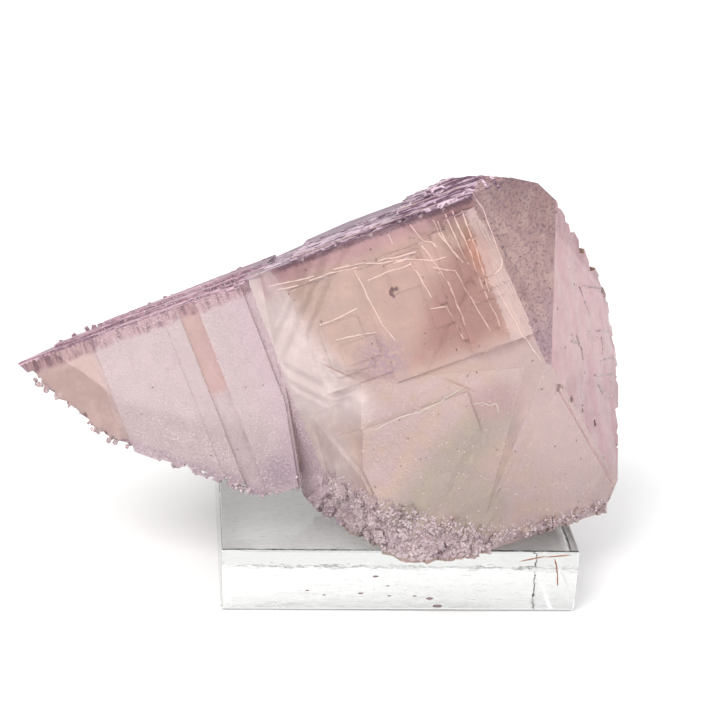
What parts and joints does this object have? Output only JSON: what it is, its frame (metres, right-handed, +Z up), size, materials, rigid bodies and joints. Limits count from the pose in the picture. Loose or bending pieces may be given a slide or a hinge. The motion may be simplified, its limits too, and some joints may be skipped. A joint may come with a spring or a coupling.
{
  "type": "fluorite specimen on acrylic base",
  "caption": "Pale lilac and peach fluorite crystal with growth steps, a cleaved plate to one side and a sugary crust, standing on a square clear acrylic base.",
  "frame": {"origin": "centre of the acrylic base's underside", "axes": "+Z up out of the base, +X to the viewer's right along the crystal's length, -Y toward the viewer of its stepped face"},
  "size_m": [0.0886, 0.0558, 0.0609],
  "materials": {
    "fluorite_crystal": "cloudy translucent crystal, glossy on the stepped face, frosted elsewhere, purple along the top and in the crust",
    "clear_acrylic": "clear polished acrylic with fine scratches"
  },
  "bodies": {
    "root": {"fluorite": "fluorite_crystal", "acrylic_base": "clear_acrylic"}
  },
  "joints": []
}
